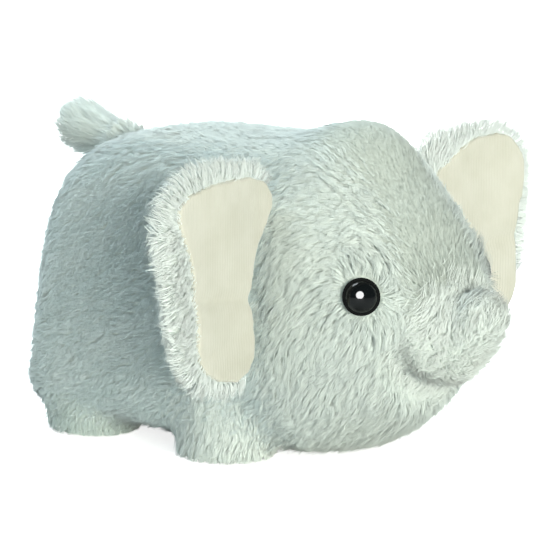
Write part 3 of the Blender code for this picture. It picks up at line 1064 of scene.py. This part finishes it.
# its faces: the first point is the root, the next three its middle, the last its tip
strandFaces = np.array([(0, 1, 2), (0, 2, 3), (0, 3, 1), (4, 2, 1), (4, 3, 2), (4, 1, 3)])


def joinStrands(name, points, tone, facing, materials):
    # one mesh of all the strands, each in its tone, lit by the given normals
    count = len(tone)
    faces = (np.arange(count)[:, None, None] * 5 + strandFaces).reshape(-1, 3)
    mesh = bpy.data.meshes.new(name)
    mesh.vertices.add(len(points))
    mesh.loops.add(len(faces) * 3)
    mesh.polygons.add(len(faces))
    mesh.vertices.foreach_set("co", points.astype(np.float32).ravel())
    mesh.loops.foreach_set("vertex_index", faces.astype(np.int32).ravel())
    mesh.polygons.foreach_set("loop_start", np.arange(0, len(faces) * 3, 3, dtype=np.int32))
    mesh.polygons.foreach_set("material_index", np.repeat(tone, len(strandFaces)))
    mesh.update(calc_edges=True)
    for material in materials:
        mesh.materials.append(material)
    mesh.polygons.foreach_set("use_smooth", np.ones(len(faces), bool))
    mesh.normals_split_custom_set_from_vertices(facing)
    piece = bpy.data.objects.new(name, mesh)
    bpy.context.scene.collection.objects.link(piece)
    return piece


def growPile(name, roots, normals, flow, coat, seed, shape=None):
    # each strand is a slim closed spindle: a root, three points round its middle and a tip;
    # flow gives the brushed way, shape may change length and lift
    rng = np.random.default_rng(seed)
    count = len(roots)
    along = flow(roots, normals)
    along = along + 0.30 * wander(roots, 0.030, seed + 1) * coat["stray"] / 0.3
    along = along - normals * np.sum(along * normals, axis=1, keepdims=True)
    along = unit(along)
    middles, nearest = findTufts(roots, coat["tuft"], rng)
    twist = rng.normal(0, coat["stray"], len(middles))[nearest]
    twist = twist + rng.normal(0, coat["stray"] * 0.5, count)
    across = np.cross(normals, along)
    lean = along * np.cos(twist)[:, None] + across * np.sin(twist)[:, None]
    length = coat["long"] * rng.uniform(0.75, 1.15, count)
    ruffle = coat.get("ruffle", 0.8)
    uneven = rng.normal(0, 1, len(middles))[nearest].clip(-1.5, 1.5)
    length = length * (1 + strand["longer"] * ruffle * uneven)
    lift = coat["lift"] * rng.uniform(0.7, 1.3, count)
    uneven = rng.normal(0, 1, len(middles))[nearest].clip(-1.5, 1.5)
    lift = lift * (1 + strand["steeper"] * ruffle * uneven)
    if shape is not None:
        length, lift = shape(roots, normals, length, lift)
    length, lift = length[:, None], lift[:, None]
    rise = np.minimum(lift * strand["rise"], 1.5)
    droop = lift * strand["droop"]
    middle = roots + length * strand["bend"] * (normals * np.sin(rise) + lean * np.cos(rise))
    tip = middle + length * strand["rest"] * (normals * np.sin(droop) + lean * np.cos(droop))
    tuftTip = tip[middles][nearest]
    tuftMiddle = middle[middles][nearest]
    share = coat["clump"] * rng.uniform(0.4, 1.0, (count, 1))
    apart = tuftTip - tip
    tip = tip + (apart - normals * np.sum(apart * normals, axis=1, keepdims=True) * 0.5) * share
    middle = middle + (tuftMiddle - middle) * share * 0.35
    deep = roots - normals * strand["buried"]
    axis = unit(tip - deep)
    side = unit(np.cross(axis, normals) + rng.normal(0, 0.25, (count, 3)))
    up = np.cross(side, axis)
    half = coat["wide"] / 2 * rng.uniform(0.7, 1.3, (count, 1))
    ring = [middle + side * half, middle + up * half * 0.8, middle - side * half]
    points = np.stack([deep, *ring, tip], axis=1).reshape(-1, 3)
    points[:, 2] = np.maximum(points[:, 2], strand["lowest"])
    # the tone drifts over the cloth, and differs from tuft to tuft and strand to strand
    mood = 0.55 * wander(roots, 0.035, seed + 2, 1)[:, 0]
    mood = mood + 0.6 * rng.normal(0, 1, len(middles))[nearest] + 0.5 * rng.normal(0, 1, count)
    tone = np.clip(np.floor(mood * 0.9 + 2.0), 0, 3).astype(np.int32)
    # soft pile is lit mostly by the way the cloth faces, a little by each strand
    soft = unit(normals + np.array(coat.get("tilt", (0, 0, 0))))[:, None, :]
    puff = np.stack([normals, side, up, -side, axis * 0.4 + normals], axis=1)
    own = coat.get("own", 0.20)
    facing = unit((soft * (1 - own) + puff * own).reshape(-1, 3))
    print(name, "grown,", count, "strands")
    return joinStrands(name, points, tone, facing, tones[coat["tones"]])


mingled = 0.0030  # how far the piles of two panels mingle along their seam
eyeClear = 0.0108
soleHeight = 0.0078


def nearestPanel(nodeNames, roots, rng):
    # the panel under each root, with the two piles mingled a little along each seam
    trees = [treeOf(frame["nodes"][name]) for name in nodeNames]
    gaps = np.array([[tree.find_nearest(root)[3] for tree in trees] for root in roots])
    return np.argmin(gaps + rng.normal(0, mingled, gaps.shape), axis=1)


def notInside(roots, normals, covers):
    keep = np.ones(len(roots), bool)
    starts = roots + normals * 0.002
    for cover in covers:
        tree = treeOf(cover)
        points = readPoints(cover.data)
        within = np.all((starts > points.min(0)) & (starts < points.max(0)), axis=1)
        for index in np.nonzero(within & keep)[0]:
            keep[index] = not isInside(tree, Vector(starts[index]))
    return keep


def clearOfEyes(roots):
    keep = np.ones(len(roots), bool)
    for centre in eyeCentres:
        keep &= np.linalg.norm(roots - centre, axis=1) > eyeClear
    return keep


def standRoundEyes(roots, normals, length, lift):
    # the pile stands up round each eye, and in the tuck under the trunk
    tuck = np.exp(-(((np.linalg.norm(roots - trunkRoot, axis=1) - 0.034) / 0.008) ** 2))
    lift = lift + 0.45 * tuck * smoothStep(0.01, -0.01, roots[:, 2] - trunkRoot[2])
    bridge = np.exp(-((roots[:, 0] / 0.030) ** 2) - ((roots[:, 2] - eyeCentres[0][2]) / 0.014) ** 2)
    bridge *= smoothStep(0.045, 0.060, neckPlace - roots[:, 1])
    lift = lift + 0.50 * bridge
    length = length * (1 + 0.40 * bridge)
    for centre in eyeCentres:
        near = np.exp(-((np.linalg.norm(roots - centre, axis=1) / 0.0175) ** 2))
        inner = smoothStep(0.002, -0.006, np.abs(roots[:, 0]) - abs(centre[0]))
        lift = lift + (0.65 + 0.30 * inner) * near
        length = length * (1 + (0.20 + 0.55 * inner) * near)
    return length, lift


def everywhere(roots, normals):
    return np.ones(len(roots), bool)


def growOver(cover, rows, seed, hiders, fence, shape):
    # grow the pile of each panel as its own piece, but not inside the hiders or off the fence;
    # a row gives the panel, the coat, the flow and the name
    grown = []
    densest = max(coats[row[1]]["dense"] for row in rows)
    roots, normals = scatter(cover, densest, seed)
    keep = notInside(roots, normals, hiders)
    keep &= fence(roots, normals)
    roots, normals = roots[keep], normals[keep]
    rng = np.random.default_rng(seed + 9)
    owner = np.zeros(len(roots), int)
    if len(rows) > 1:
        owner = nearestPanel([row[0] for row in rows], roots, rng)
    for index, (panel, coatName, flow, name) in enumerate(rows):
        coat = coats[coatName]
        mine = (owner == index) & (rng.uniform(0, 1, len(roots)) < coat["dense"] / densest)
        grown.append(
            growPile(name, roots[mine], normals[mine], flow, coat, seed + index, shape)
        )
    return grown


def offFeet(roots, normals):
    # nothing grows on the soles or under the eyes
    return ~((normals[:, 2] < -0.75) & (roots[:, 2] < soleHeight)) & clearOfEyes(roots)


loafRows = [
    ("back_strip", "back", flowBody, "back_pile"),
    ("belly_panel", "belly", flowBody, "belly_pile"),
    ("body_side_left", "flank", flowBody, "flank_left_pile"),
    ("body_side_right", "flank", flowBody, "flank_right_pile"),
    ("rump_panel", "rump", flowBody, "rump_pile"),
    ("head_side_left", "cheek", flowFace, "cheek_left_pile"),
    ("head_side_right", "cheek", flowFace, "cheek_right_pile"),
    ("brow_strip", "brow", flowFace, "brow_pile"),
    ("chin_panel", "chin", flowFace, "chin_pile"),
]
for corner in corners:
    leg = "leg_" + corner
    # the hind legs are grown in darker tones, painted shade
    coatName = "leg" if corner.startswith("front") else "hindShade"
    loafRows.append((leg + "_sleeve", coatName, flowOneWay("leg"), leg + "_pile"))
for panel, name in zip(panels["trunk"], ("trunk_left_pile", "trunk_right_pile")):
    loafRows.append((panel, "trunk", flowOneWay("trunk"), name))
loafPile = growOver(wholeSkin, loafRows, 100, [tailSkin], offFeet, standRoundEyes)
bpy.data.objects.remove(wholeSkin)
for piece in loafPile:
    name = piece.name
    if name.startswith(("cheek", "brow", "chin", "trunk")):
        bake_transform(piece)
    else:
        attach(piece, "body")
    if name == "brow_pile":
        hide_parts("brow_strip")

tailRow = ("tail_side_left", "tail", flowOneWay("tail"), "tail_pile")
tailPile = growOver(tailSkin, [tailRow], 410, [bodySkin], everywhere, brushTail)[0]
for piece in (tailSkin, tailPile):
    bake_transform(piece)
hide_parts("tail_side_left", "tail_side_right", "tail_stuffing")

for side in ("left", "right"):
    liningTree = treeOf(linings[side])
    ahead = Vector((-sideWord[side] * sweepSine, -sweepCosine, 0))

    def offLining(roots, normals):
        # nothing grows under the lining, or where the ear is sewn on
        facing = normals @ np.array(ahead)
        keep = np.abs(roots[:, 0]) > np.where(facing > -0.3, 0.0860, 0.0795)
        keep |= roots[:, 2] > 0.130
        out = unit(roots - earMiddle(roots)) * 0.0025
        for index in np.nonzero(keep & (facing > 0.25))[0]:
            start = Vector(roots[index] + out[index]) - ahead * 0.01
            keep[index] = liningTree.ray_cast(start, ahead, 0.03)[0] is None
        return keep

    earRow = ("ear_" + side + "_back", "ear", flowEar, "ear_" + side + "_pile")
    seed = 510 if side == "left" else 500
    piece = growOver(earSkins[side], [earRow], seed, [], offLining, standOnRim)[0]
    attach(piece, "ear_" + side)

eyeFuzz = {"strands": 700, "inner": 0.0076, "outer": 0.0090, "above": 0.0006}

for side in ("left", "right"):
    # black fuzz round the rim of the eye
    rng = np.random.default_rng(600 + (side == "left"))
    count = eyeFuzz["strands"]
    centre = middleOf("eye_" + side + "_backing")
    facing = np.array(treeOf(headSkin).find_nearest(Vector(centre))[1])
    first = unit(np.cross(facing, (0, 0, 1))[None])[0]
    second = np.cross(facing, first)
    turn = rng.uniform(0, 6.283, count)
    out = rng.uniform(eyeFuzz["inner"], eyeFuzz["outer"], count)[:, None]
    spread = first * np.cos(turn)[:, None] + second * np.sin(turn)[:, None]
    roots = centre + spread * out + facing * eyeFuzz["above"]
    normals = np.repeat(facing[None], count, axis=0)
    piece = growPile("eye_" + side + "_fuzz", roots, normals,
                     lambda places, normals, middle=centre: places - middle, coats["fuzz"], 610)
    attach(piece, "body")
total = sum(len(piece.data.polygons) for piece in bpy.data.objects if piece.type == "MESH")
print("pile grown,", total, "faces in all")
